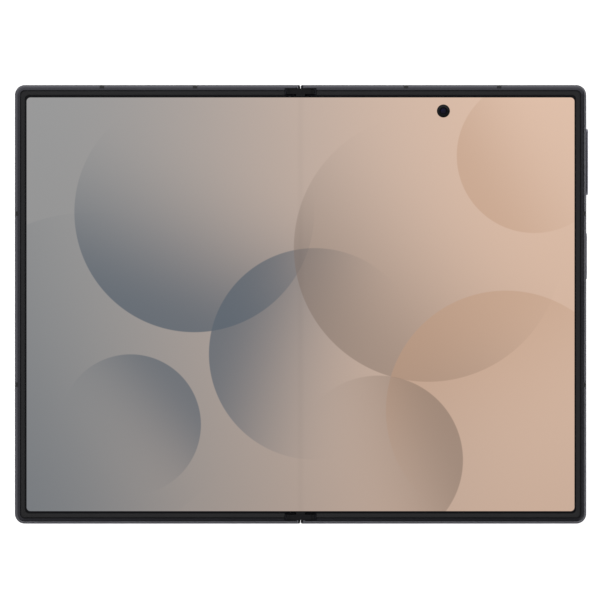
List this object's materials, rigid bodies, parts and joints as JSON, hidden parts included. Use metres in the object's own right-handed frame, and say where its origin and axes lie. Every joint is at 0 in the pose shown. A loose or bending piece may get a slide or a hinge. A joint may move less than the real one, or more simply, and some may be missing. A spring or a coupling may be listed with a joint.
{
  "type": "foldable smartphone",
  "caption": "Book-style folding phone, lying open: two thin metal-framed halves on a geared hinge, with one flexible inner screen, side keys and a rear camera island.",
  "frame": {"origin": "on the fold line, midway between the top and bottom edges, at the height of the lowest point (the faces of the rear lens rings)", "axes": "+X to the right across the open screen, +Y towards the top edge along the fold, +Z out of the screen"},
  "size_m": [0.1619, 0.1238, 0.0068],
  "materials": {
    "titanium_frame": "fine satin anodised",
    "camera_island_metal": "satin",
    "hinge_cover_metal": "satin",
    "antenna_plastic": "matte",
    "bezel_rubber": "soft matte",
    "screen": "glossy display",
    "steel_sheet": "brushed",
    "back_glass": "satin etched glass",
    "cover_glass": "polished glass",
    "lens_glass": "coated glass",
    "module_black": "matte",
    "cover_display": "glossy",
    "circuit_board": "solder mask",
    "shield_steel": "tinned",
    "battery_foil": "foil wrapped",
    "copper": "enamelled copper",
    "flex_film": "polyimide film",
    "hinge_steel": "machined",
    "gear_brass": "machined",
    "magnet": "nickel plated",
    "card": "gold contacts"
  },
  "bodies": {
    "hinge_spine": {"hinge_cover": "hinge_cover_metal", "hinge_end_caps": "hinge_cover_metal", "hinge_guide_blocks": "hinge_steel", "hinge_screws": "hinge_steel", "fold_bezel_covers": "bezel_rubber", "fold_screen_strip": "screen", "fold_lattice": "steel_sheet", "hinge_flex_cables": "flex_film"},
    "right_half": {"right_frame": "titanium_frame", "right_antenna_breaks": "antenna_plastic", "right_bezel": "bezel_rubber", "right_screen_panel": "screen", "right_screen_plate": "steel_sheet", "right_back_glass": "back_glass", "main_board": "circuit_board", "board_shields": "shield_steel", "right_battery": "battery_foil", "camera_island": "camera_island_metal", "lens_glasses": "lens_glass", "camera_modules": "module_black", "flash_lens": "lens_glass", "front_camera": "module_black", "lower_board": "circuit_board", "usb_shell": "shield_steel", "usb_tongue": "module_black", "loudspeaker": "module_black", "vibration_motor": "shield_steel", "charging_coil": "copper", "key_switches": "flex_film", "right_hinge_brackets": "hinge_steel", "right_timing_arms": "gear_brass", "right_bracket_screws": "hinge_steel", "right_magnets": "magnet"},
    "left_half": {"left_frame": "titanium_frame", "left_antenna_breaks": "antenna_plastic", "left_bezel": "bezel_rubber", "left_screen_panel": "screen", "left_screen_plate": "steel_sheet", "cover_glass": "cover_glass", "cover_screen": "cover_display", "cover_camera": "module_black", "left_battery": "battery_foil", "left_board": "circuit_board", "earpiece": "module_black", "left_hinge_brackets": "hinge_steel", "left_timing_arms": "gear_brass", "left_bracket_screws": "hinge_steel", "left_magnets": "magnet", "card_reader": "shield_steel"},
    "volume_key": {"volume_key": "titanium_frame"},
    "power_key": {"power_key": "titanium_frame"},
    "card_tray": {"card_tray": "titanium_frame", "card": "card"},
    "idler_top_right": {"idler_top_right": "gear_brass"},
    "idler_top_left": {"idler_top_left": "gear_brass"},
    "idler_bottom_right": {"idler_bottom_right": "gear_brass"},
    "idler_bottom_left": {"idler_bottom_left": "gear_brass"}
  },
  "joints": [
    {"name": "right_fold", "type": "hinge", "parent": "hinge_spine", "child": "right_half", "pos_m": [0.00175, 0, 0.00515], "axis": [0, -1, 0], "range_deg": [0, 90], "deforming": ["hinge_flex_cables"]},
    {"name": "left_fold", "type": "hinge", "parent": "hinge_spine", "child": "left_half", "pos_m": [-0.00175, 0, 0.00515], "axis": [0, 1, 0], "range_deg": [0, 90], "deforming": ["fold_screen_strip", "fold_lattice"]},
    {"name": "volume_press", "type": "slide", "parent": "right_half", "child": "volume_key", "axis": [-1, 0, 0], "range_m": [0, 0.0002], "stiffness_N_per_m": 600, "springref_m": -0.0008},
    {"name": "power_press", "type": "slide", "parent": "right_half", "child": "power_key", "axis": [-1, 0, 0], "range_m": [0, 0.0002], "stiffness_N_per_m": 600, "springref_m": -0.0008},
    {"name": "tray_slide", "type": "slide", "parent": "left_half", "child": "card_tray", "axis": [0, -1, 0], "range_m": [0, 0.018]},
    {"name": "idler_spin_top_right", "type": "hinge", "parent": "hinge_spine", "child": "idler_top_right", "pos_m": [0.00058, 0.06, 0.00515], "axis": [0, 1, 0], "range_deg": [0, 90]},
    {"name": "idler_spin_top_left", "type": "hinge", "parent": "hinge_spine", "child": "idler_top_left", "pos_m": [-0.00058, 0.06, 0.00515], "axis": [0, 1, 0], "range_deg": [-90, 0]},
    {"name": "idler_spin_bottom_right", "type": "hinge", "parent": "hinge_spine", "child": "idler_bottom_right", "pos_m": [0.00058, -0.06, 0.00515], "axis": [0, 1, 0], "range_deg": [0, 90]},
    {"name": "idler_spin_bottom_left", "type": "hinge", "parent": "hinge_spine", "child": "idler_bottom_left", "pos_m": [-0.00058, -0.06, 0.00515], "axis": [0, 1, 0], "range_deg": [-90, 0]}
  ],
  "couplings": [
    {"joint": "right_fold", "follows": "left_fold", "ratio": 1},
    {"joint": "idler_spin_top_right", "follows": "left_fold", "ratio": 1},
    {"joint": "idler_spin_top_left", "follows": "left_fold", "ratio": -1},
    {"joint": "idler_spin_bottom_right", "follows": "left_fold", "ratio": 1},
    {"joint": "idler_spin_bottom_left", "follows": "left_fold", "ratio": -1}
  ]
}
